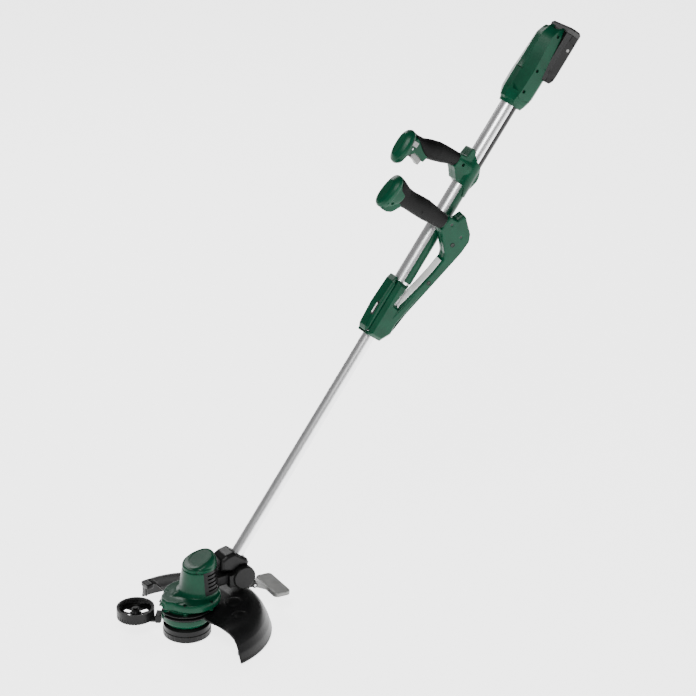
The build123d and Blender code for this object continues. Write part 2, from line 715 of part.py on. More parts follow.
def neck_bracket():
    """The black fork at the back of the head, with two ears on the tilt axis."""
    body = box(MOTOR_X + 28, 86, -19.7, 19.7, NECK_LOW, NECK_TOP)
    body += box(MOTOR_X + 19, 57.5, -13, 13, 86.6, NECK_LOW + 4)
    for side in (1, -1):
        y_from, y_to = sorted((side * (KNUCKLE_HALF + 0.3), side * (BOSS_HALF - 2)))
        ear = cross_rod(BOSS_R, y_from, y_to, TILT_X, TILT_Z)
        web = box(80, TILT_X, y_from, y_to, TILT_Z - 14, TILT_Z + 12)
        body += ear + web
    body -= cross_rod(BOSS_R + 1.0, -KNUCKLE_HALF - 0.3, KNUCKLE_HALF + 0.3, TILT_X, TILT_Z)
    body -= cross_rod(5.0 + PIN_CLEARANCE, -60, 60, TILT_X, TILT_Z)
    for side in (1, -1):
        y_from, y_to = sorted((side * 15.3, side * 23.0))
        lug = box(122, 140, y_from, y_to, 72, 84)
        lug += cross_rod(6.0, y_from, y_to, PEDAL_X, PEDAL_Z)
        body += lug
    body -= cross_rod(2.5, -60, 60, PEDAL_X, PEDAL_Z)
    return body


def pedal():
    """The wide grey foot pedal and its arm."""
    arm_points = [
        (-PEDAL_X + 4, PEDAL_Z + 5), (-PEDAL_X - 6, PEDAL_Z + 5), (-176, 53),
        (-176, 45), (-162, 54), (-PEDAL_X + 4, PEDAL_Z - 5),
    ]
    arm = side_plate(arm_points, -14.8, 14.8)
    plate = Box(36, 84, 10)
    plate = fillet(plate.edges().filter_by(Axis.Z), 9.0)
    plate = chamfer(plate.faces().sort_by(Axis.Z)[-1].edges(), 2.0)
    plate = Pos(189, 0, 49) * Rot(0, 4, 0) * plate
    eye = cross_rod(6.0, -14.8, 14.8, PEDAL_X, PEDAL_Z)
    body = arm + plate + eye
    return body - cross_rod(2.5 + PIN_CLEARANCE, -60, 60, PEDAL_X, PEDAL_Z)


def knuckle_housing():
    """The barrel on the tilt axis and the socket for the lower tube."""
    barrel = cross_rod(BOSS_R - 0.5, -KNUCKLE_HALF, KNUCKLE_HALF, TILT_X, TILT_Z)
    socket = SHAFT * (rod(LOWER_TUBE_R + 5.0, -6, 34) & box(-30, 30, -KNUCKLE_HALF, KNUCKLE_HALF, -6, 34))
    link = SHAFT * box(-8, TILT_OFFSET, -KNUCKLE_HALF, KNUCKLE_HALF, -5, 30)
    body = barrel + socket + link
    body -= SHAFT * rod(LOWER_TUBE_R + PIN_CLEARANCE, LOWER_TUBE_START - 0.2, 60)
    body -= cross_rod(5.0 + PIN_CLEARANCE, -60, 60, TILT_X, TILT_Z)
    return body


def knuckle_cover():
    """The rounded hood over the tube socket."""
    outline = [(23, -11), (36.6, 8.7), (32, 21), (20, 34), (-17, 34), (-33, 20), (-33, 2), (0, -2)]
    outer = SHAFT * side_plate(outline, -21, 21)
    outer = chamfer(outer.edges().group_by(Axis.Y)[0] + outer.edges().group_by(Axis.Y)[-1], 5.0)
    outer -= SHAFT * rod(LOWER_TUBE_R + 5.0, -6.1, 34)
    outer -= SHAFT * box(-8.0, TILT_OFFSET + 0.1, -KNUCKLE_HALF, KNUCKLE_HALF, -30, 30)
    outer -= SHAFT * rod(LOWER_TUBE_R + 0.3, 30, 60)
    outer -= cross_rod(BOSS_R + 1.0, -60, 60, TILT_X, TILT_Z)
    return outer


# ---------------------------------------------------------------- spool


def spool_housing():
    """The black drum above the spool cap, open below."""
    return ring_profile(
        [
            (4.0, 22),
            (9, 22),
            (9, SPOOL_TOP - 3),
            (38, SPOOL_TOP - 3),
            (43.3, SPOOL_TOP - 5),
            (43.3, SPOOL_CAP_H + 0.4),
            (45.5, SPOOL_CAP_H + 0.4),
            (45.5, SPOOL_TOP - 4),
            (39, SPOOL_TOP),
            (4.0, SPOOL_TOP),
        ]
    )


def spool_cap():
    """The removable cap that rests on the ground."""
    body = ring_profile(
        [
            (0, 0),
            (SPOOL_R - 6, 0),
            (SPOOL_R, 4),
            (SPOOL_R, SPOOL_CAP_H),
            (SPOOL_R - 3, SPOOL_CAP_H),
            (SPOOL_R - 3, 4.5),
            (SPOOL_R - 7, 2.5),
            (0, 2.5),
        ]
    )
    for index in range(24):
        body -= Rot(0, 0, index * 15.0) * box(SPOOL_R - 0.8, SPOOL_R + 1, -1.2, 1.2, 5.5, SPOOL_CAP_H - 3)
    return body


def spool_drum():
    """The bobbin that the line is wound on."""
    return ring_profile(
        [
            (12, 6), (40, 6), (40, 7.8), (24, 7.8), (24, 19.2), (40, 19.2),
            (40, 21), (12, 21), (12, 19), (21, 19), (21, 8), (12, 8),
        ]
    )


# ---------------------------------------------------------------- build every node


def build_shaft():
    """Tubes, rails, housings, handles and what is inside them."""
    bore = UPPER_TUBE_R - TUBE_WALL
    save(SHAFT * tube(UPPER_TUBE_R, bore, UPPER_TUBE_START, UPPER_TUBE_END), "upper_tube")
    bush = tube(bore, LOWER_TUBE_R + PIN_CLEARANCE, UPPER_TUBE_START, UPPER_TUBE_START + 40)
    save(SHAFT * bush, "tube_bush")
    rail = under_strip(UPPER_TUBE_R + 0.02, RAIL_R, RAIL_START, RAIL_END, RAIL_HALF_ANGLE)
    save(SHAFT * rail, "cable_rail")
    channel_ends = (RAIL_END + 0.2, REAR_START + 12)
    channel = under_strip(UPPER_TUBE_R + 0.02, CHANNEL_R, *channel_ends, CHANNEL_HALF_ANGLE)
    save(SHAFT * channel, "cable_channel")

    lower = lower_housing()
    for side, name in ((-1, "left"), (1, "right")):
        save(SHAFT * half(lower, side), f"lower_housing_{name}")
    lever_pin = cross_rod(LEVER_PIN_R, -15, 15, -LEVER_PIN_REACH, HOUSING_START + 8)
    trigger_pin = cross_rod(2.0, -12.4, 12.4, -REAR_FACE + 18, REAR_TIP_S - 12)
    save(SHAFT * Compound(children=[lever_pin, trigger_pin]), "lever_pins")

    front = front_handle_body() - rod(LOWER_TUBE_R + 40, 0, HOUSING_START + 20)
    front_core_screws = [(6, 786), (-30, 775), (FRONT_FACE - 14, FRONT_GRIP_S - 20), (-30, 640)]
    for reach, height in front_core_screws:
        front -= Pos(-reach, -2, height) * Rot(90, 0, 0) * rod(1.55, -0.1, 40)
        front -= Pos(-reach, -2, height) * Rot(90, 0, 0) * rod(2.7, 8, 40)
    front_left = FRONT * half(front, -1) - SHAFT * housing_keepout()
    front_right = FRONT * half(front, 1) - SHAFT * housing_keepout()
    save(front_left, "front_handle_left")
    save(front_right, "front_handle_right")
    sleeve = grip(FRONT_GRIP) - front
    save(FRONT * sleeve, "front_grip")
    cap = end_cap(FRONT_FACE - 3.9, FRONT_CAP_S, CAP_HALF_WIDE, CAP_HALF_HIGH, -3)
    cap -= front
    save(FRONT * biggest(cap), "front_handle_cap")
    return [FRONT * side_screw(reach, height, -2.0, -12.0) for reach, height in front_core_screws]


def housing_keepout():
    """Room for the lower housing, its tube and rail beside the front arm."""
    room = side_plate(
        [
            (20, HOUSING_START - 21),
            (20, HOUSING_END + 0.2),
            (-10.3, HOUSING_END + 0.2),
            (-3.3, SLOT_END + 3.2),
            (-HOUSING_R - 6.3, SLOT_END + 0.2),
            (-HOUSING_R - 9.3, HOUSING_START + 22),
            (-HOUSING_R + 5.7, HOUSING_START - 1),
        ],
        -HOUSING_R - 0.1,
        HOUSING_R + 0.1,
    )
    return room + rod(RAIL_R + 0.4, 500, 900)


def biggest(shape):
    """The largest solid of a cut shape."""
    return sorted(shape.solids(), key=lambda solid: solid.volume)[-1]


def build_rear():
    """Rear handle with its trigger, rear housing and what they hold."""
    body = rear_handle_body()
    screws_at = [(32, REAR_GRIP_S + 6), (REAR_FACE - 21, REAR_TIP_S - 25)]
    for reach, height in screws_at:
        body -= Pos(-reach, -2, height) * Rot(90, 0, 0) * rod(1.55, -0.1, 40)
        body -= Pos(-reach, -2, height) * Rot(90, 0, 0) * rod(2.7, 8, 40)
    for side, name in ((-1, "left"), (1, "right")):
        save(SHAFT * half(body, side), f"rear_handle_{name}")
    sleeve = grip(REAR_GRIP) - body
    save(SHAFT * biggest(sleeve), "rear_grip")
    cap = end_cap(REAR_CAP_AT + 0.1, REAR_CAP_S, CAP_HALF_WIDE, CAP_HALF_HIGH, -8) - body
    save(SHAFT * biggest(cap), "rear_handle_cap")
    screws = [SHAFT * side_screw(reach, height, -2.0, -12.0) for reach, height in screws_at]

    save(SHAFT * trigger(), "trigger")
    switch = box(-REAR_NECK - 20, -REAR_NECK - 1, -5, 5, REAR_TIP_S - 0.5, REAR_TIP_S + 8.9)
    save(SHAFT * switch, "power_switch")
    button = box(-REAR_NECK - 36.8, -REAR_NECK - 25.2, -20.5, -11.5, REAR_TIP_S - 6.8, REAR_TIP_S + 2.8)
    save(SHAFT * button, "lock_off_button")

    housing = rear_housing()
    housing_screws_at = [(22, REAR_START + 30), (8, REAR_END - 10), (11, REAR_START + 76)]
    for reach, height in housing_screws_at:
        housing += Pos(-reach, 0, height) * Rot(90, 0, 0) * rod(4.0, -21.5, 21.5)
        housing -= Pos(-reach, -2, height) * Rot(90, 0, 0) * rod(1.55, -0.1, 40)
        housing -= Pos(-reach, -2, height) * Rot(90, 0, 0) * rod(2.7, 8, 40)
    for side, name in ((-1, "left"), (1, "right")):
        save(SHAFT * half(housing, side), f"rear_housing_{name}")
    screws += [SHAFT * side_screw(reach, height, -2.0, -12.0) for reach, height in housing_screws_at]
    board = box(-19, -17, -16, 16, REAR_START + 108, REAR_START + 150)
    board += box(-17, -9, -8, -2, REAR_START + 114, REAR_START + 126)
    board += box(-17, -12, 3, 12, REAR_START + 130, REAR_START + 144)
    save(SHAFT * board, "control_board")
    block = box(-7.9, 4.9, -7, 7, BATTERY_START + 12, BATTERY_START + 30)
    save(SHAFT * block, "terminal_block")
    return screws


def build_battery():
    """The slide-on battery and its release button."""
    save(SHAFT * battery_case(), "battery_case")
    save(SHAFT * battery_lid(), "battery_lid")
    cells = []
    for index in range(3):
        y = (index - 1) * 18.6
        cells.append(rod(9.0, BATTERY_START + 30, BATTERY_START + 95, 26, y))
    save(SHAFT * Compound(children=cells), "battery_cells")
    tabs = []
    for y in (-5.0, 0.0, 5.0):
        tabs.append(box(12.0, 14.4, y - 0.4, y + 0.4, BATTERY_START + 31, BATTERY_START + 44))
    save(SHAFT * Compound(children=tabs), "battery_contacts")
    end = BATTERY_START + BATTERY_LENGTH
    key = box(-BATTERY_BOTTOM - 5.6, -BATTERY_BOTTOM - 0.4, -14.8, 14.8, end - 29.8, end - 10.6)
    save(SHAFT * key, "battery_button")


def build_lower_shaft():
    """The telescopic inner tube and the tilting knuckle at its foot."""
    save(SHAFT * lower_tube(), "lower_tube")
    save(knuckle_housing(), "knuckle_housing")
    save(knuckle_cover(), "knuckle_cover")


def build_head():
    """Everything that tilts with the cutting head, without the spool."""
    save(neck_bracket(), "neck_bracket")
    tilt_pin = cross_rod(5.0, -BOSS_HALF + 2.2, BOSS_HALF - 2.2, TILT_X, TILT_Z)
    pedal_pin = cross_rod(2.5, -22.8, 22.8, PEDAL_X, PEDAL_Z)
    save(Compound(children=[tilt_pin, pedal_pin]), "pivot_pins")
    caps = []
    for side in (1, -1):
        y_from, y_to = sorted((side * (BOSS_HALF - 1.9), side * (BOSS_HALF + 1.5)))
        disc = cross_rod(BOSS_R - 0.5, y_from, y_to, TILT_X, TILT_Z)
        outer = disc.faces().sort_by(Axis.Y)[-1 if side > 0 else 0]
        caps.append(chamfer(outer.edges(), 1.2))
    save(Compound(children=caps), "tilt_caps")
    save(pedal(), "foot_pedal")
    save(motor_housing(), "motor_housing")
    save(vent_panel(), "vent_panel")
    save(motor_cap(), "motor_cap")
    save(gear_case(), "gear_case")
    save(guard(), "guard")
    blade = Rot(0, 0, GUARD_FROM + 5) * box(139, 150, -0.95, 0.25, 8, 24)
    save(blade, "line_cutter")
    save(wheel_arm(), "wheel_arm")
    save(wheel_tyre(), "wheel_tyre")
    save(wheel_hub(), "wheel_hub")
    save(wheel_clip(), "wheel_clip")

    plate = rod(45, 84.0, 86.5, FLANGE_X) - rod(4.2, 80, 90) - rod(6.0, 80, 90, MOTOR_X)
    plate += rod(21.0, 84.0, 86.5, MOTOR_X) - rod(6.0, 80, 90, MOTOR_X)
    save(plate, "motor_plate")
    can = tube(17.5, 16.0, 86.6, 134.0).moved(Location((MOTOR_X, 0, 0)))
    can += tube(17.5, 5.0, 134.0, 136.0).moved(Location((MOTOR_X, 0, 0)))
    can += tube(17.5, 5.0, 86.6, 88.6).moved(Location((MOTOR_X, 0, 0)))
    save(can, "motor_can")
    rotor = rod(14.8, 92, 130, MOTOR_X)
    for index in range(3):
        slot = Pos(MOTOR_X, 0, 0) * Rot(0, 0, index * 120.0) * box(6.5, 20, -2.2, 2.2, 90, 132)
        rotor -= slot
    rotor -= rod(2.0, 80, 140, MOTOR_X)
    save(rotor, "rotor")
    save(rod(2.0, 74, 139, MOTOR_X), "motor_shaft")
    pinion = Pos(MOTOR_X, 0, 74.5) * gear(PINION_TEETH, GEAR_MODULE, 7.5, 2.0)
    save(pinion, "motor_pinion")
    bearing = tube(11.0, 4.05, GEAR_CASE_BOTTOM + 3.7, GEAR_CASE_BOTTOM + 10.7)
    save(bearing, "lower_bearing")
    screws = []
    for x, y in SCREW_PLACES:
        screws.append(Pos(x, y, 67) * screw(16.0))
    save(Compound(children=screws), "head_screws")


def build_spool():
    """Spindle, gear and the line spool."""
    save(rod(4.0, 3.0, 83.6), "spindle")
    wheel_gear = Rot(0, 0, 180 / GEAR_TEETH) * gear(GEAR_TEETH, GEAR_MODULE, 6.5, 4.0)
    save(Pos(0, 0, 75) * wheel_gear, "drive_gear")
    save(spool_housing() - rod(4.0, 0, 100), "spool_housing")
    save(spool_cap() - rod(4.1, 2.4, 10), "spool_cap")
    save(spool_drum(), "spool_drum")
    save(tube(37, 24.05, 7.9, 19.1), "cutting_line")
    spring = tube(9.5, 8.0, 2.6, 21.9)
    save(spring, "spool_spring")


save(Compound(children=build_shaft() + build_rear()), "handle_screws")
save(SHAFT * clamp_lever(), "clamp_lever")
build_battery()
build_lower_shaft()
build_head()
build_spool()
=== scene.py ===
import json
import math

import bmesh
import bpy
from mathutils import Matrix, Vector


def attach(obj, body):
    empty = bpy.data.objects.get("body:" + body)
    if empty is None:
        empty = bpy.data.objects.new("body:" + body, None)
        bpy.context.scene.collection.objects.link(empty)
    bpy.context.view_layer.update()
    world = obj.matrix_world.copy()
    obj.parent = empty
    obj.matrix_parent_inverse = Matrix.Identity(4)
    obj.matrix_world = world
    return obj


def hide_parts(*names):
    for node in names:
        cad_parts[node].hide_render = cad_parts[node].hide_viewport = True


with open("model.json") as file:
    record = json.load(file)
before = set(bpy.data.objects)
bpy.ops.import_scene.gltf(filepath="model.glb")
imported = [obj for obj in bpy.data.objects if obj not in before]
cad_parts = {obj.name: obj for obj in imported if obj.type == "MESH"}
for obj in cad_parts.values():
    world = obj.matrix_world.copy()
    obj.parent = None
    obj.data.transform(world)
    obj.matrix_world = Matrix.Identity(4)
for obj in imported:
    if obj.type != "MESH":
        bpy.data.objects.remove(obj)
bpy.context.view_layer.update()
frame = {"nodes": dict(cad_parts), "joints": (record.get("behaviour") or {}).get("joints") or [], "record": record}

RECORD = frame["record"]
MM = 0.001

# Cordless string trimmer.  The scene is in metres; the sizes below are in millimetres.  Places on the shaft
# are (reach, side, height): forward of the shaft's centre line, to the user's right, and up along it.

# ------------------------------------------------------------------ camera, floor and light

VIEW_AZIMUTH = math.radians(-31.0)
VIEW_ELEVATION = math.radians(24.5)
VIEW_DISTANCE = 4.61
VIEW_LENS = 124.14
VIEW_AIM = Vector((0.3813, 0.0352, 0.4973))
FLOOR_REACH = 30.0
FLOOR_DROP = 0.0005
FLOOR_GLOW = 3.2
SKY_GLOW = 0.2
LIGHTS = (  # name, place and size in metres, and power in watts
    ("key_light", (-1.6, -2.2, 3.8), 1.6, 140),
    ("fill_light", (1.8, -3.0, 1.6), 2.0, 8),
    ("rim_light", (0.6, 2.8, 2.6), 1.4, 60),
)
LIT_POINT = (0.35, 0.0, 0.5)

# ------------------------------------------------------------------ driving sizes

TILT_OFFSET = 25.0
LEAN = math.radians(8.6)
LEAN_AT = 530.0
TUBE_BORE = 16.6
PAST = 60.0  # beyond the side of any part of the shaft, for cutters
FLANGE_X = 12.0
FLANGE_BOTTOM = 70.5
FLANGE_SCREWS = ((28, -49), (-22, -38))
COLUMN_X = 30.0
CROWN_SCREW_TURN = math.radians(-126)
HOUSING_SCREWS = ((8, 1066), (6, 1112), (1, 1188))
SHELL_SCREW_R = 2.9  # the screws in the battery housing and the rear bracket
BUTTON_SHIFT = 12.0
HANDLE_HALF = 13.5  # half the width of the handles' flat parts
ARM_SCREWS = ((-24, 754), (-33, 668))
POMMEL_SQUARENESS = 2.3
GRIP_SQUARENESS = 2.2
BATTERY_PANEL_SIDE = 35.4
BATTERY_TRIM_SIDE = 35.2
GUARD_FROM = -79.0  # degrees about the head's upright axis
GUARD_TO = 96.0
GUARD_RIM = 162.8

# ------------------------------------------------------------------ making the camera, floor and light


def aim(piece, place, target, up=Vector((0, 0, 1))):
    """Put a camera or light at a place, looking at a target."""
    back = (place - target).normalized()
    right = up.cross(back).normalized()
    over = back.cross(right)
    turn = Matrix((right, over, back)).transposed().to_4x4()
    piece.matrix_world = Matrix.Translation(place) @ turn


def make_camera():
    """The camera at the photograph's angle."""
    data = bpy.data.cameras.new("camera")
    data.lens = VIEW_LENS
    data.sensor_width = 36.0
    data.clip_end = 50.0
    camera = bpy.data.objects.new("camera", data)
    bpy.context.scene.collection.objects.link(camera)
    back = Vector((
        math.sin(VIEW_AZIMUTH) * math.cos(VIEW_ELEVATION),
        -math.cos(VIEW_AZIMUTH) * math.cos(VIEW_ELEVATION),
        math.sin(VIEW_ELEVATION),
    ))
    aim(camera, VIEW_AIM + back * VIEW_DISTANCE, VIEW_AIM)
    bpy.context.scene.camera = camera


def area_light(name, place, target, size, power):
    """A square soft light."""
    data = bpy.data.lights.new(name, "AREA")
    data.shape = "SQUARE"
    data.size = size
    data.energy = power
    light = bpy.data.objects.new(name, data)
    bpy.context.scene.collection.objects.link(light)
    aim(light, Vector(place), Vector(target))


def make_studio():
    """A pale floor and plain soft light."""
    mesh = bpy.data.meshes.new("floor")
    ends = ((-1, -1), (1, -1), (1, 1), (-1, 1))
    corners = [(x * FLOOR_REACH, y * FLOOR_REACH, -FLOOR_DROP) for x, y in ends]
    mesh.from_pydata(corners, [], [(0, 1, 2, 3)])
    floor = bpy.data.objects.new("floor", mesh)
    bpy.context.scene.collection.objects.link(floor)
    paint = bpy.data.materials.new("floor_white")
    paint.use_nodes = True
    shader = paint.node_tree.nodes["Principled BSDF"]
    shader.inputs["Base Color"].default_value = (0.82, 0.82, 0.82, 1)
    shader.inputs["Roughness"].default_value = 0.9
    shader.inputs["Emission Color"].default_value = (1, 1, 1, 1)
    shader.inputs["Emission Strength"].default_value = FLOOR_GLOW
    mesh.materials.append(paint)
    world = bpy.data.worlds.new("studio")
    world.use_nodes = True
    world.node_tree.nodes["Background"].inputs["Color"].default_value = (1, 1, 1, 1)
    world.node_tree.nodes["Background"].inputs["Strength"].default_value = SKY_GLOW
    bpy.context.scene.world = world
    for name, place, size, power in LIGHTS:
        area_light(name, place, LIT_POINT, size, power)


make_camera()
make_studio()

# ------------------------------------------------------------------ materials

MOTTLE = 40.0
SLOT_OF = {entry["node"]: entry["material_slot"] for entry in RECORD["subparts"]}
BODY_OF = {name: body for body, names in RECORD["behaviour"]["bodies"].items() for name in names}


def noise(tree, scale, detail, roughness=0.55):
    """Noise over the object's own coordinates, in metres."""
    place = tree.nodes.new("ShaderNodeTexCoord")
    pattern = tree.nodes.new("ShaderNodeTexNoise")
    pattern.inputs["Scale"].default_value = scale
    pattern.inputs["Detail"].default_value = detail
    pattern.inputs["Roughness"].default_value = roughness
    tree.links.new(place.outputs["Object"], pattern.inputs["Vector"])
    return pattern


def ramp(tree, source, low, high, dark, light):
    """Two colours blended by a factor between low and high."""
    made = tree.nodes.new("ShaderNodeValToRGB")
    made.color_ramp.elements[0].position = low
    made.color_ramp.elements[1].position = high
    made.color_ramp.elements[0].color = (*dark, 1)
    made.color_ramp.elements[1].color = (*light, 1)
    tree.links.new(source, made.inputs["Fac"])
    return made


def spread(tree, source, low, high):
    """A factor spread between two values."""
    made = tree.nodes.new("ShaderNodeMapRange")
    made.inputs["From Min"].default_value = 0.3
    made.inputs["From Max"].default_value = 0.7
    made.inputs["To Min"].default_value = low
    made.inputs["To Max"].default_value = high
    tree.links.new(source, made.inputs["Value"])
    return made


def surface(name, colour, rough, grain, depth, metallic=0.0, variety=0.12, specular=0.5):
    """A procedural material: broad colour variation, varied roughness and a fine grain in the bump."""
    paint = bpy.data.materials.new(name)
    paint.use_nodes = True
    tree = paint.node_tree
    shader = tree.nodes["Principled BSDF"]
    broad = noise(tree, MOTTLE, 2.0)
    dark = [c * (1 - variety) for c in colour]
    light = [min(1.0, c * (1 + variety)) for c in colour]
    tint = ramp(tree, broad.outputs["Fac"], 0.35, 0.65, dark, light)
    tree.links.new(tint.outputs["Color"], shader.inputs["Base Color"])
    fine = noise(tree, grain, 4.0, 0.6)
    gloss = spread(tree, fine.outputs["Fac"], rough - 0.05, rough + 0.05)
    tree.links.new(gloss.outputs["Result"], shader.inputs["Roughness"])
    bump = tree.nodes.new("ShaderNodeBump")
    bump.inputs["Strength"].default_value = 0.2
    bump.inputs["Distance"].default_value = depth
    tree.links.new(fine.outputs["Fac"], bump.inputs["Height"])
    tree.links.new(bump.outputs["Normal"], shader.inputs["Normal"])
    shader.inputs["Metallic"].default_value = metallic
    shader.inputs["Specular IOR Level"].default_value = specular
    return paint


LOOKS = {
    "green_plastic": ((0.0003, 0.036, 0.017), 0.3, 1800, 0.00003, {"specular": 0.14}),
    "black_plastic": ((0.005, 0.005, 0.0052), 0.36, 1500, 0.00005, {"variety": 0.18, "specular": 0.14}),
    "dark_grey_plastic": ((0.02, 0.02, 0.02), 0.45, 1500, 0.00008, {"specular": 0.3}),
    "grip_rubber": ((0.0015, 0.0015, 0.0015), 0.6, 2200, 0.00012, {"variety": 0.2, "specular": 0.12}),
    "grey_plastic": ((0.17, 0.17, 0.165), 0.45, 1600, 0.00007, {}),
    "pale_plastic": ((0.72, 0.72, 0.71), 0.5, 1600, 0.00005, {"variety": 0.03}),
    "aluminium": ((0.86, 0.86, 0.87), 0.3, 900, 0.00003, {"metallic": 1.0, "variety": 0.03}),
    "steel": ((0.45, 0.45, 0.46), 0.32, 1200, 0.00004, {"metallic": 1.0, "variety": 0.06}),
    "dark_screw": ((0.02, 0.02, 0.02), 0.4, 1400, 0.00004, {"metallic": 0.6}),
    "gear_steel": ((0.3, 0.3, 0.31), 0.3, 1400, 0.00004, {"metallic": 1.0}),
    "copper": ((0.6, 0.3, 0.15), 0.35, 1200, 0.00005, {"metallic": 1.0}),
    "circuit_board": ((0.01, 0.09, 0.04), 0.4, 1500, 0.00005, {}),
    "cell_wrap": ((0.03, 0.15, 0.35), 0.35, 1500, 0.00004, {}),
    "line_nylon": ((0.7, 0.22, 0.03), 0.35, 1500, 0.00005, {}),
}
PAINTS = {
    name: surface(name, colour, rough, grain, depth, **more)
    for name, (colour, rough, grain, depth, more) in LOOKS.items()
}

for name, piece in frame["nodes"].items():
    paint = PAINTS["dark_screw" if name.endswith("screws") else SLOT_OF[name]]
    piece.data.materials.clear()
    piece.data.materials.append(paint)

# ------------------------------------------------------------------ frames of reference

JOINTS = {joint["name"]: joint for joint in frame["joints"]}
TILT = Vector(JOINTS["head_tilt"]["pos_m"])
UP_SHAFT = Vector(JOINTS["shaft_telescope"]["axis"]).normalized()
FORWARD = Vector((-UP_SHAFT.z, 0, UP_SHAFT.x))
UP = Vector((0, 0, 1))
SHAFT_FOOT = TILT + FORWARD * TILT_OFFSET * MM


def on_shaft(reach, side, height):
    """A point beside the shaft: millimetres forward, to the right and up along it."""
    return SHAFT_FOOT + FORWARD * reach * MM + Vector((0, side * MM, 0)) + UP_SHAFT * height * MM


def on_front(reach, side, height):
    """A point in the front handle's frame, which leans to the user's left."""
    rise = height - LEAN_AT
    across = side * math.cos(LEAN) - rise * math.sin(LEAN)
    along = side * math.sin(LEAN) + rise * math.cos(LEAN) + LEAN_AT
    return on_shaft(reach, across, along)


def upright(x, y, z):
    """A point in the cutting head's own frame."""
    return Vector((x, y, z)) * MM


def sideways(side):
    """The direction out of a part's left (-1) or right (1) side."""
    return Vector((0, side, 0))


# ------------------------------------------------------------------ clay


def piece_from(name, points, faces):
    """An object made of points and faces."""
    mesh = bpy.data.meshes.new(name)
    mesh.from_pydata([tuple(point) for point in points], [], faces)
    made = bpy.data.objects.new(name, mesh)
    bpy.context.scene.collection.objects.link(made)
    return made


def outward(piece):
    """Merge doubled points and turn every face outward."""
    work = bmesh.new()
    work.from_mesh(piece.data)
    bmesh.ops.remove_doubles(work, verts=work.verts, dist=1e-6)
    bmesh.ops.recalc_face_normals(work, faces=work.faces)
    work.to_mesh(piece.data)
    work.free()
    return piece


def through(name, rings):
    """A closed skin through rings of points."""
    count = len(rings[0])
    points = [point for ring in rings for point in ring]
    faces = []
    for row in range(len(rings) - 1):
        for index in range(count):
            after = (index + 1) % count
            low, high = row * count, (row + 1) * count
            faces.append((low + index, low + after, high + after, high + index))
    faces.append(tuple(range(count)))
    faces.append(tuple((len(rings) - 1) * count + index for index in reversed(range(count))))
    return outward(piece_from(name, points, faces))


def oval_ring(place, reach, height, wide, high, count=56):
    """A ring of points round a handle, square to it."""
    ring = []
    for index in range(count):
        turn = 2 * math.pi * index / count
        ring.append(place(reach, wide * math.cos(turn), height + high * math.sin(turn)))
    return ring


def hoop(place, top, bottom, wide, square=2.0, count=56):
    """An oval ring from its top and bottom points, each (reach, height), and its half width."""
    middle = [(a + b) / 2 for a, b in zip(top, bottom)]
    rise = [(a - b) / 2 for a, b in zip(top, bottom)]
    ring = []
    for index in range(count):
        turn = 2 * math.pi * index / count
        across = abs(math.cos(turn)) ** (2 / square) * math.copysign(wide, math.cos(turn))
        up = abs(math.sin(turn)) ** (2 / square) * math.copysign(1, math.sin(turn))
        ring.append(place(middle[0] + rise[0] * up, across, middle[1] + rise[1] * up))
    return ring


def hoops(name, place, sections, square=2.0):
    """A closed skin through oval rings given as (top, bottom, half width)."""
    return through(name, [hoop(place, top, bottom, wide, square) for top, bottom, wide in sections])


def tilted_ring(centre, radius_x, radius_y, slant, count=64):
    """An oval ring about an upright axis, sloping down towards the front by an angle in degrees."""
    ring = []
    for index in range(count):
        turn = 2 * math.pi * index / count
        x, y = radius_x * math.cos(turn), radius_y * math.sin(turn)
        rise = x * math.tan(math.radians(slant))
        ring.append(upright(centre[0] + x, centre[1] + y, centre[2] + rise))
    return ring


def slab(name, place, outline, side_from, side_to):
    """A flat-sided block with an outline of (reach, height) points."""
    rings = [[place(reach, side, height) for reach, height in outline] for side in (side_from, side_to)]
    return through(name, rings)


def block(name, place, low, high):
    """A box between two corners of a frame."""
    outline = [(low[0], low[2]), (high[0], low[2]), (high[0], high[2]), (low[0], high[2])]
    return slab(name, place, outline, low[1], high[1])


def ring_about(centre, side, other, radius, count):
    """A round ring of points in the plane of two directions."""
    turns = [2 * math.pi * index / count for index in range(count)]
    return [centre + (side * math.cos(turn) + other * math.sin(turn)) * radius * MM for turn in turns]


def rod(name, start, end, radius, radius_end=None, count=40):
    """A round bar or cone between two points."""
    radius_end = radius if radius_end is None else radius_end
    along = (end - start).normalized()
    side = along.orthogonal().normalized()
    other = along.cross(side)
    ends = ((start, radius), (end, radius_end))
    return through(name, [ring_about(centre, side, other, size, count) for centre, size in ends])


def turned(name, profile, centre=(0.0, 0.0), start=0.0, end=360.0, count=120):
    """A closed profile of (radius, height) points turned about an upright axis."""
    whole = end - start >= 360.0
    steps = count if whole else count + 1
    points = []
    for step in range(steps):
        turn = math.radians(start + (end - start) * step / count)
        for radius, height in profile:
            x, y = radius * math.cos(turn), radius * math.sin(turn)
            points.append(upright(centre[0] + x, centre[1] + y, height))
    size = len(profile)
    faces = []
    for step in range(count):
        low, high = step * size, ((step + 1) % steps) * size
        for index in range(size):
            after = (index + 1) % size
            faces.append((low + index, low + after, high + after, high + index))
    if not whole:
        faces.append(tuple(range(size)))
        faces.append(tuple(count * size + index for index in reversed(range(size))))
    return outward(piece_from(name, points, faces))


def spline(before, here, after, last, t):
    """A value a fraction t of the way from one point to the next on a smooth line through four."""
    slope = (after - before) * t
    bend = (2 * before - 5 * here + 4 * after - last) * t ** 2
    twist = (3 * here - before - 3 * after + last) * t ** 3
    return 0.5 * (2 * here + slope + bend + twist)


def curve_points(points, steps=6):
    """A smooth line through points."""
    smooth = []
    for index in range(len(points) - 1):
        before = points[max(index - 1, 0)]
        here, after = points[index], points[index + 1]
        last = points[min(index + 2, len(points) - 1)]
        for step in range(steps):
            t = step / steps
            smooth.append(tuple(spline(a, b, c, d, t) for a, b, c, d in zip(before, here, after, last)))
    smooth.append(tuple(points[-1]))
    return smooth


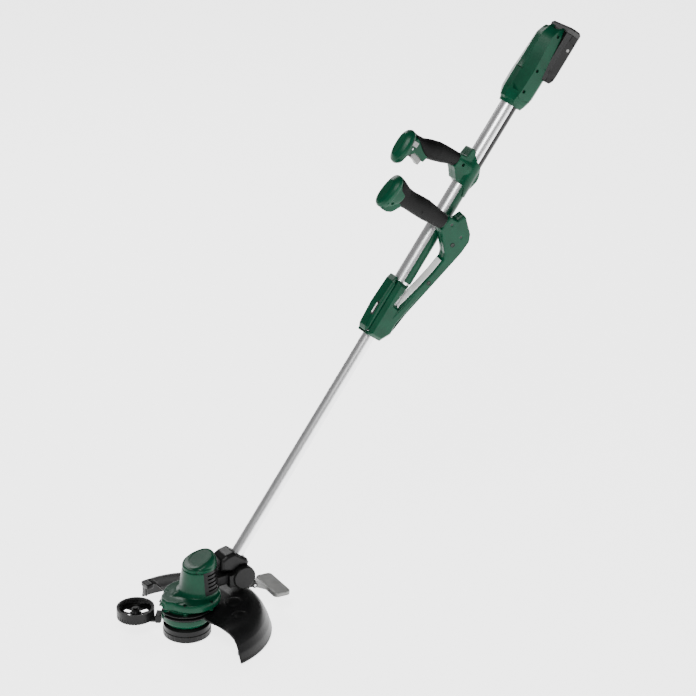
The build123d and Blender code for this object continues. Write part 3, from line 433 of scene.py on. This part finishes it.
def joined(name, parts):
    """Several pieces as one object."""
    work = bmesh.new()
    for part in parts:
        work.from_mesh(part.data)
        bpy.data.objects.remove(part)
    mesh = bpy.data.meshes.new(name)
    work.to_mesh(mesh)
    work.free()
    made = bpy.data.objects.new(name, mesh)
    bpy.context.scene.collection.objects.link(made)
    return made


def settle(piece):
    """Apply a piece's modifiers."""
    graph = bpy.context.evaluated_depsgraph_get()
    mesh = bpy.data.meshes.new_from_object(piece.evaluated_get(graph))
    piece.modifiers.clear()
    piece.data = mesh
    return piece


def mould(piece, voxel, soften, keep):
    """Turn overlapping closed skins into one moulded skin with rounded edges."""
    remesh = piece.modifiers.new("remesh", "REMESH")
    remesh.mode = "VOXEL"
    remesh.voxel_size = voxel * MM
    smooth = piece.modifiers.new("smooth", "SMOOTH")
    smooth.factor = 0.5
    smooth.iterations = soften
    thin = piece.modifiers.new("thin", "DECIMATE")
    thin.ratio = keep
    return settle(piece)


def carve(piece, cutters):
    """Cut closed pieces out of a piece."""
    tool = joined("cutter", cutters)
    cut = piece.modifiers.new("cut", "BOOLEAN")
    cut.operation = "DIFFERENCE"
    cut.solver = "EXACT"
    cut.use_self = True
    cut.object = tool
    settle(piece)
    bpy.data.objects.remove(tool)
    return piece


def add(piece, other):
    """Join another closed piece to a piece."""
    meld = piece.modifiers.new("add", "BOOLEAN")
    meld.operation = "UNION"
    meld.solver = "EXACT"
    meld.object = other
    settle(piece)
    bpy.data.objects.remove(other)
    return piece


def crisp(piece, width, angle=24.0):
    """Round a piece's sharp edges by a width in millimetres."""
    edge = piece.modifiers.new("edge", "BEVEL")
    edge.width = width * MM
    edge.segments = 3
    edge.limit_method = "ANGLE"
    edge.angle_limit = math.radians(angle)
    edge.use_clamp_overlap = True
    return settle(piece)


def dress(piece, body, paint, nodes=(), angle=35.0):
    """Shade, paint and hang a finished piece on its body, in place of CAD nodes."""
    piece.data.materials.clear()
    piece.data.materials.append(PAINTS[paint])
    for face in piece.data.polygons:
        face.use_smooth = True
    piece.data.set_sharp_from_angle(angle=math.radians(angle))
    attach(piece, body)
    if nodes:
        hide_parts(*nodes)
    return piece


def copy_of(node):
    """A copy of a CAD node's skin, to be moulded."""
    mesh = frame["nodes"][node].data.copy()
    made = bpy.data.objects.new(node + "_clay", mesh)
    bpy.context.scene.collection.objects.link(made)
    return outward(made)


def mould_node(node, voxel, soften, keep, cutters=(), extra=()):
    """A CAD node's shape with moulded, rounded edges and extra detail."""
    clay = copy_of(node)
    if extra:
        clay = joined(node + "_clay", [clay, *extra])
    mould(clay, voxel, soften, keep)
    if cutters:
        carve(clay, cutters)
    clay.name = node + "_form"
    dress(clay, BODY_OF[node], SLOT_OF[node], (node,))


def screw_in(name, place, axis, body, paint, radius=3.2):
    """A small cross-headed screw, sunk in its hole."""
    head = rod(name, place - axis * 2 * MM, place, radius, radius * 0.9, 28)
    side = axis.orthogonal().normalized()
    corners = ((-0.62, -0.13), (0.62, -0.13), (0.62, 0.13), (-0.62, 0.13))
    cuts = []
    for turn in (20, 110):
        arm = Matrix.Rotation(math.radians(turn), 3, axis) @ side
        wide = axis.cross(arm)
        rings = []
        for level in (place - axis * 1.1 * MM, place + axis * 1 * MM):
            rings.append([level + (arm * a + wide * b) * radius * MM for a, b in corners])
        cuts.append(through("slot", rings))
    carve(head, cuts)
    dress(head, body, paint, (), 30)


def ringed_screw(place, reach, side, height):
    """A screw in a dark sunk ring on a handle's flat side."""
    axis = (place(reach, side, height) - place(reach, 0, height)).normalized()
    spot = place(reach, side, height)
    ring = rod("screw_ring", spot - axis * 2 * MM, spot + axis * 0.25 * MM, 4.6, 4.3, 36)
    carve(ring, [rod("well", spot - axis * 0.9 * MM, spot + axis * 2 * MM, 3.6, count=36)])
    dress(ring, "shaft", "black_plastic", (), 30)
    screw_in("side_screw", spot - axis * 0.2 * MM, axis, "shaft", "dark_grey_plastic")


def side_holes(place, reach, side_from, height, radius):
    """Cutters for a blind hole in each side of a handle."""
    holes = []
    for side in (-1, 1):
        start, end = place(reach, side * side_from, height), place(reach, side * 40, height)
        holes.append(rod("hole", start, end, radius, count=28))
    return holes


# ------------------------------------------------------------------ parts moulded from their CAD shapes


def moulded_parts():
    """Plain shells and castings: node, voxel in millimetres, smoothing steps, share of faces kept."""
    for node, voxel, soften, keep in (
        ("front_handle_left", 0.9, 20, 0.4),
        ("front_handle_right", 0.9, 20, 0.4),
        ("lower_housing_left", 0.9, 8, 0.4),
        ("lower_housing_right", 0.9, 8, 0.4),
        ("clamp_lever", 0.8, 8, 0.5),
        ("gear_case", 0.8, 5, 0.4),
        ("neck_bracket", 0.9, 9, 0.4),
        ("knuckle_housing", 1.0, 30, 0.4),
        ("knuckle_cover", 1.0, 36, 0.4),
        ("foot_pedal", 0.8, 8, 0.5),
        ("trigger", 0.5, 6, 0.5),
        ("wheel_arm", 0.7, 4, 0.4),
        ("wheel_hub", 0.6, 3, 0.4),
        ("spool_cap", 0.8, 4, 0.4),
        ("tilt_caps", 0.6, 4, 0.4),
    ):
        mould_node(node, voxel, soften, keep)


# ------------------------------------------------------------------ motor housing


def front_lobe():
    """The flat lobe at the front of the flange, leaning back towards its top."""
    outline = [(-6, -33), (-38, -24), (-50, -12), (-52, 4), (-44, 20), (-6, 34)]
    rings = []
    for height, back in ((FLANGE_BOTTOM, 0.0), (82, 0.5), (88, 3.0)):
        rings.append([upright(x + back, y, height) for x, y in outline])
    return through("lobe", rings)


def front_spout():
    """The ridge that runs from the column's foot down to the front lobe, narrowing on the way."""
    steps = 6
    rings = []
    for step in range(steps + 1):
        t = step / steps
        half = 27 * (1 - t) + 13 * t
        x, y = FLANGE_X - 60 * t, -3 + 9 * t
        top = 112 - 29 * t ** 0.6
        arch = (
            (-1, FLANGE_BOTTOM), (1, FLANGE_BOTTOM), (0.98, top - 16), (0.7, top - 5),
            (0, top), (-0.7, top - 5), (-0.98, top - 16),
        )
        rings.append([upright(x, y + half * side, height) for side, height in arch])
    return through("spout", rings)


def motor_column():
    """The column: flared at its foot, and set further back as it rises."""
    sections = (
        (22, 80, 47, 44), (25, 88, 42, 40), (27.5, 97, 38.5, 37.5),
        (29, 115, 36, 36), (30, 137.6, 33.2, 33.2),
    )
    return through("column", [tilted_ring((x, 0, z), long, wide, 0) for x, z, long, wide in sections])


def motor_shell():
    """The round flange, its front lobe and the column, run together."""
    bottom = FLANGE_BOTTOM
    profile = [(0.01, bottom), (55.5, bottom), (55.8, 80), (54, 86), (0.01, 93)]
    flange = turned("flange", profile, (FLANGE_X, 0), count=90)
    parts = [flange, front_lobe(), front_spout(), motor_column()]
    clay = mould(joined("motor_shell", parts), 1.0, 22, 0.45)
    cuts = [rod("hole", upright(x, y, 80), upright(x, y, 120), 3.6, count=24) for x, y in FLANGE_SCREWS]
    cuts.append(rod("foot_hole", upright(-24, -20, 88), upright(-24, -20, 120), 4.2, count=24))
    cuts.append(block("window", upright, (22, -PAST, 92), (90, PAST, 140)))
    cuts.append(rod("inside", upright(COLUMN_X, 0, 90), upright(COLUMN_X, 0, 145), 28))
    carve(clay, cuts)
    clay.name = "motor_shell"
    dress(clay, "head", "green_plastic", ("motor_housing",), 40)
    for x, y in FLANGE_SCREWS:
        screw_in("flange_screw", upright(x, y, 84), UP, "head", "black_plastic")


def brow():
    """The swelling ridge round the front left of the column's cap."""
    steps = 16
    rings = []
    for step in range(steps + 1):
        turn = math.radians(-176 + 7.5 * step)
        swell = 2.4 * math.sin(math.pi * step / steps)
        ring = []
        for index in range(16):
            around = 2 * math.pi * index / 16
            radius = 31.6 + (1.2 + swell) * math.cos(around)
            rise = 143.2 + (1.6 + swell) * 0.8 * math.sin(around)
            ring.append(upright(COLUMN_X + radius * math.cos(turn), radius * math.sin(turn), rise))
        rings.append(ring)
    return through("brow", rings)


def motor_crown():
    """The column's cap: a slanted shallow disc on top, and the brow with a screw hole below it."""
    levels = (
        (30, 138.2, 33.3, 0), (30, 144, 33.2, 3), (30.6, 149.5, 32, 8), (31.6, 153.5, 29, 14),
        (32.4, 155.6, 25.5, 19), (33, 156.6, 22.5, 22), (33, 155.8, 21.2, 22), (33, 155.7, 0.6, 22),
    )
    dome = through("crown", [tilted_ring((x, 0, z), size, size, slant, 96) for x, z, size, slant in levels])
    clay = mould(joined("crown", [dome, brow()]), 0.7, 6, 0.6)
    facing = Vector((math.cos(CROWN_SCREW_TURN), math.sin(CROWN_SCREW_TURN), 0))
    spot = upright(COLUMN_X, 0, 140.6)
    carve(clay, [rod("hole", spot + facing * 31 * MM, spot + facing * 45 * MM, 2.7, count=28)])
    clay.name = "motor_crown"
    dress(clay, "head", "green_plastic", ("motor_cap",), 40)


# ------------------------------------------------------------------ battery housing

HOUSING_FRONT = (
    (1033, 17), (1043, 25), (1056, 26.8), (1090, 26.5), (1104, 26),
    (1112, 25.5), (1180, 26), (1196, 20), (1209, 4),
)
HOUSING_BACK = ((1033, -18), (1043, -20), (1062, -21), (1104, -21), (1209, -10))
HOUSING_HALF = ((1033, 19), (1046, 25), (1060, 30.5), (1098, 31.5), (1116, 30.5), (1190, 24.5), (1209, 18))
HOUSING_LEVELS = (
    1033.5, 1038, 1043, 1050, 1056, 1062, 1075, 1090, 1098, 1104,
    1112, 1130, 1150, 1170, 1180, 1190, 1197, 1203, 1208.5,
)


def between(line, at):
    """A value read off a line of (place, value) points."""
    for (low, first), (high, second) in zip(line, line[1:]):
        if at <= high:
            t = max(0.0, (at - low) / (high - low))
            return first + (second - first) * t
    return line[-1][1]


def housing_ring(height):
    """One outline of the housing: faceted at the front, flat at the back."""
    front, back, half = (between(line, height) for line in (HOUSING_FRONT, HOUSING_BACK, HOUSING_HALF))
    flat = half * 0.28
    shape = [
        (back, -half * 0.9), (back + 5, -half), (front - 13, -half), (front, -flat),
        (front, flat), (front - 13, half), (back + 5, half), (back, half * 0.9),
    ]
    return [on_shaft(reach, side, height) for reach, side in shape]


def collar_groove(side):
    """A cutter for the curved groove where the collar meets the housing's side."""
    steps = 12
    upper = []
    for step in range(steps + 1):
        turn = math.radians(180 / steps * step)
        upper.append((-22 + 44 * step / steps, 1060 - 10 * math.sin(turn)))
    lower = [(reach, height - 1.1) for reach, height in reversed(upper)]
    depth = between(HOUSING_HALF, 1055) - 2.5
    return slab("groove", on_shaft, upper + lower, side * depth, side * PAST)


def housing(side, name):
    """One half of the battery housing: side -1 is the left half."""
    body = through("housing", [housing_ring(level) for level in HOUSING_LEVELS])
    collar = rod("collar", on_shaft(0, 0, 1033.2), on_shaft(0, 0, 1062), 20.5, 27.5, 64)
    clay = add(body, collar)
    low, high = sorted((side * 0.25, -side * PAST))
    cuts = [block("half", on_shaft, (-PAST, low, 1000), (PAST, high, 1240))]
    cuts.append(rod("bore", on_shaft(0, 0, 1000), on_shaft(0, 0, 1240), TUBE_BORE, count=64))
    cuts.append(block("bay", on_shaft, (-PAST, -15, 1066), (-10, 15, 1240)))
    cuts.append(collar_groove(side))
    step_at = between(HOUSING_FRONT, 1104) - 1.6
    cuts.append(block("step", on_shaft, (step_at, -PAST, 1103), (PAST, PAST, 1105.2)))
    for reach, height in HOUSING_SCREWS:
        spot = on_shaft(reach, side * (between(HOUSING_HALF, height) - 3.5), height)
        cuts.append(rod("hole", spot, on_shaft(reach, side * PAST, height), 3.6, count=28))
    carve(clay, cuts)
    crisp(clay, 0.9)
    clay.name = "housing_" + name
    dress(clay, "shaft", "green_plastic", ("rear_housing_" + name,), 32)
    for reach, height in HOUSING_SCREWS:
        spot = on_shaft(reach, side * (between(HOUSING_HALF, height) - 3.2), height)
        screw_in("housing_screw", spot, sideways(side), "shaft", "black_plastic", SHELL_SCREW_R)


# ------------------------------------------------------------------ lower housing and arm


def arm_fairing():
    """The smooth run from the lower housing into the arm."""
    sections = (
        (540, -27.5, -6, -16, 16), (560, -28.5, -6, -17, 16), (585, -31, -11, -17, 15),
        (610, -34.5, -16.5, -15.5, 14), (635, -38.4, -21, -13.4, 13.4), (650, -40, -24, -12.8, 12.8),
    )
    rings = []
    for height, back, front, left, right in sections:
        outline = (
            (back, left + 5), (back + 5, left), (front - 2, left), (front, left + 2),
            (front, right - 2), (front - 2, right), (back + 5, right), (back, right - 5),
        )
        rings.append([on_front(reach, side, height) for reach, side in outline])
    clay = mould(through("arm_fairing", rings), 0.9, 10, 0.5)
    dress(clay, "shaft", "green_plastic", (), 40)


def lever_window_painted_highlight():
    """The narrow pale slot in the lever's left front edge, in its dark frame; the pale block is a painted
    highlight on the lever's window.
    """
    rim = crisp(block("lever_frame", on_shaft, (27.4, -12.6, 559), (30.9, -7.2, 586)), 0.5)
    dress(rim, "lever", "black_plastic", (), 30)
    # painted highlight: this pale block stands for the white highlight on the lever's window
    light = crisp(block("lever_window_painted_highlight", on_shaft, (28.4, -11.6, 562), (31.3, -8.4, 583)), 0.4)
    dress(light, "lever", "pale_plastic", (), 30)


def arm_screws():
    """The ringed screws in both sides of the arm."""
    for side in (-HANDLE_HALF, HANDLE_HALF):
        for reach, height in ARM_SCREWS:
            ringed_screw(on_front, reach, side, height)


def arm_inlay():
    """The pale strip along the inner side of the arm."""
    line = [(-10.4, 595), (-15.6, 627), (-20.3, 654), (-24.8, 681), (-26.8, 697), (-26.8, 717)]
    back = [(reach - 2.2, height) for reach, height in reversed(line)]
    strip = crisp(slab("arm_inlay", on_front, line + back, -8.5, 8.5), 0.5)
    dress(strip, "shaft", "pale_plastic", (), 40)


# ------------------------------------------------------------------ rear handle


def rear_bracket():
    """The clamp round the shaft with the root of the rear grip and its back hump."""
    sleeve = rod("sleeve", on_shaft(0, 0, 832), on_shaft(0, 0, 922), 20.4, 19.2, 64)
    outline = [
        (30, 906), (27, 925), (21, 926), (9, 914), (-6, 905), (-16, 897), (-21, 886), (-22, 876),
        (-18, 862), (-12, 846), (4, 845), (12, 858), (24, 858), (36, 871), (44, 877.5), (44, 904),
    ]
    cheek = slab("cheek", on_shaft, outline, -HANDLE_HALF, HANDLE_HALF)
    root_sections = ((-6, 886, 18, 24), (16, 888, 18, 20), (30, 890.5, 16.5, 15.5), (44, 891.4, 15.6, 14.6))
    root = through("root", [oval_ring(on_shaft, *section) for section in root_sections])
    clay = mould(joined("rear_bracket", [sleeve, cheek, root]), 0.9, 16, 0.5)
    cuts = [rod("bore", on_shaft(0, 0, 800), on_shaft(0, 0, 1000), TUBE_BORE, count=64)]
    seam = [(-PAST, 830), (PAST, 830), (PAST, 930), (-PAST, 930)]
    cuts.append(slab("seam", on_shaft, seam, -0.35, 0.35))
    cuts += side_holes(on_shaft, 30, 12.5, 889, 3.4)
    low = [
        (-PAST, 800), (PAST, 800), (PAST, 868), (44, 877), (36, 870),
        (24, 857), (12, 857), (3, 853), (-4, 838), (-PAST, 838),
    ]
    cuts.append(slab("below", on_shaft, low, -PAST, PAST))
    high = [(-PAST, 872), (-20, 890), (-12, 900), (6, 908), (20, 923), (20, 960), (-PAST, 960)]
    cuts.append(slab("above", on_shaft, high, -PAST, PAST))
    carve(clay, cuts)
    clay.name = "rear_bracket"
    dress(clay, "shaft", "green_plastic", ("rear_handle_left", "rear_handle_right"), 40)
    for side in (-1, 1):
        spot = on_shaft(30, side * 13.2, 889)
        screw_in("bracket_screw", spot, sideways(side), "shaft", "black_plastic", SHELL_SCREW_R)


def trigger_well():
    """The slot that the trigger swings in."""
    return block("well", on_shaft, (109.5, -6.9, 836), (155.5, 6.9, 881))


def rear_cap():
    """The rear grip's end: an oval pommel with a web that carries the trigger."""
    face = hoops("face", on_shaft, (
        ((152, 886), (150, 850), 13), ((158, 892), (156, 826), 18.5), ((163, 893.5), (163, 823), 20),
        ((168, 891), (169, 825), 18), ((172.5, 886), (173, 831), 13.5), ((175.3, 881), (175.5, 836), 9.5),
    ), POMMEL_SQUARENESS)
    web = slab("web", on_shaft, [
        (110, 862), (113, 852), (120, 856), (140, 859), (150, 848),
        (158, 836), (163, 868), (150, 885), (112, 880),
    ], -12, 12)
    neck = through("neck", [oval_ring(on_shaft, 110, 878, 12, 15), oval_ring(on_shaft, 160, 870, 12, 18)])
    clay = mould(joined("rear_pommel", [face, web, neck]), 0.8, 8, 0.6)
    carve(clay, [trigger_well(), *side_holes(on_shaft, 156, 13, 838, 3.0)])
    clay.name = "rear_pommel"
    dress(clay, "shaft", "green_plastic", ("rear_handle_cap",), 40)


def rear_rubber():
    """The rear grip's soft cover, cut off slantwise above the trigger."""
    clay = hoops("rear_rubber", on_shaft, (
        ((44, 905.8), (43.5, 877.5), 14.8), ((56, 905.5), (54, 875.8), 15.6), ((72, 905), (70, 870), 17),
        ((92, 903.5), (90, 864.5), 18), ((112, 898.8), (102, 861.8), 17.6), ((131, 892.3), (109, 861), 16.2),
        ((150, 891), (112, 861.3), 15), ((161, 892.6), (114, 862.5), 14.6),
    ), GRIP_SQUARENESS)
    mould(clay, 0.8, 6, 0.5)
    carve(clay, [trigger_well()])
    clay.name = "rear_rubber"
    dress(clay, "shaft", "grip_rubber", ("rear_grip",), 50)


def lock_off_button():
    """The lock-off button, beside the rear pommel."""
    button = copy_of("lock_off_button")
    button.data.transform(Matrix.Translation(FORWARD * BUTTON_SHIFT * MM))
    mould(button, 0.5, 5, 0.6)
    button.name = "lock_off_form"
    dress(button, "lock_off", "grey_plastic", ("lock_off_button",))


# ------------------------------------------------------------------ front handle


def front_rubber():
    """The front grip's soft cover, with a hole for the small plug in its left side."""
    clay = hoops("front_rubber", on_front, (
        ((23, 796.5), (22, 766), 15.4), ((43, 798.5), (41, 765), 16.4), ((75, 802), (68, 762.5), 18),
        ((98, 801), (98, 762.6), 18.6), ((115, 800), (115, 763), 18.2), ((132, 802), (132, 761.8), 17.6),
        ((150, 808.5), (140, 761.5), 17.4), ((160, 811), (148, 762), 17.2),
    ), GRIP_SQUARENESS)
    mould(clay, 0.8, 6, 0.5)
    carve(clay, [rod("plug_hole", on_front(88, -17.2, 777), on_front(88, -40, 777), 3.2, count=28)])
    clay.name = "front_rubber"
    dress(clay, "shaft", "grip_rubber", ("front_grip",), 50)


def front_cap():
    """The front grip's end: an oval pommel with a hooked foot."""
    face = hoops("face", on_front, (
        ((157, 809), (152, 750), 16.5), ((162, 811.5), (160, 741.5), 20), ((167, 810.5), (168, 741.5), 20),
        ((171, 804), (173, 745), 15), ((174, 797), (175, 751), 10),
    ), POMMEL_SQUARENESS)
    foot = slab("foot", on_front, [
        (131, 763), (138, 751), (142, 746), (152, 741.8), (164, 741.8),
        (166, 800), (158, 800), (146, 772), (134, 770),
    ], -13, 13)
    clay = mould(joined("front_pommel", [face, foot]), 0.8, 8, 0.6)
    carve(clay, side_holes(on_front, 165, 17, 757, 3.0))
    clay.name = "front_pommel"
    dress(clay, "shaft", "green_plastic", ("front_handle_cap",), 40)


# ------------------------------------------------------------------ battery


def battery():
    """The battery's case with a recessed panel, a round lamp and a ledge in each side."""
    outline = [
        (-36, 1118), (-30, 1112), (-13, 1112), (-10, 1118),
        (-10, 1184), (-16, 1192), (-32, 1192), (-36, 1186),
    ]
    panels = []
    for side in (-1, 1):
        panels.append(slab("panel", on_shaft, outline, side * BATTERY_PANEL_SIDE, side * PAST))
    mould_node("battery_case", 0.8, 6, 0.5, cutters=panels)
    inner = BATTERY_TRIM_SIDE
    for side in (-1, 1):
        start, end = on_shaft(-27, side * inner, 1176), on_shaft(-27, side * (inner + 1.4), 1176)
        dress(rod("battery_lamp", start, end, 3.4, 3.0, 32), "battery", "grey_plastic", (), 30)
        bar = [(-32, 1122), (-14, 1122), (-14, 1126), (-32, 1126)]
        ledge = slab("battery_ledge", on_shaft, bar, side * inner, side * (inner + 1))
        dress(crisp(ledge, 0.4), "battery", "black_plastic", (), 30)


# ------------------------------------------------------------------ guard


def guard_hump(turn, radius, height, wide, high):
    """A soft dome on the guard's deck, at an angle and a radius."""
    x, y = radius * math.cos(math.radians(turn)), radius * math.sin(math.radians(turn))
    levels = ((1.0, 0.0), (0.92, 0.4), (0.74, 0.72), (0.45, 0.94), (0.05, 1.0))
    rings = []
    for size, rise in levels:
        rings.append(tilted_ring((x, y, height + high * rise), wide * size, wide * size, 0, 40))
    return through("hump", rings)


def guard():
    """The guard: its deck rises away from the collar, rolls over into the skirt and ends in a thick lip."""
    top = curve_points([
        (50, 54), (66, 53.5), (84, 55.5), (100, 58.5), (114, 59.5), (127, 58.5),
        (138, 54.5), (147, 46), (154, 33), (159, 17), (GUARD_RIM - 0.2, 4),
    ], 4)
    under = []
    for radius, height in top[:-1]:
        under.append((radius - 2.4 * (radius > 130) - 0.6 * (radius > 100), height - 2.8))
    under.append((160.0, 4))
    skirt = turned("skirt", top + under[::-1], start=GUARD_FROM, end=GUARD_TO, count=110)
    inner = GUARD_RIM - 4.2
    lip_shape = [(inner, 3.6), (GUARD_RIM, 3.6), (GUARD_RIM, 8.5), (inner, 8.5)]
    lip = turned("lip", lip_shape, start=GUARD_FROM, end=GUARD_TO)
    places = ((-48, 108, 55, 17, 7), (-20, 92, 54, 20, 8), (-66, 128, 49, 9, 6))
    humps = [guard_hump(*place) for place in places]
    mould_node("guard", 1.15, 12, 0.35, extra=[skirt, lip, *humps])


# ------------------------------------------------------------------ all the pieces

moulded_parts()
motor_shell()
motor_crown()
housing(-1, "left")
housing(1, "right")
arm_fairing()
lever_window_painted_highlight()
arm_screws()
rear_bracket()
rear_cap()
rear_rubber()
front_rubber()
front_cap()
arm_inlay()
lock_off_button()
battery()
guard()
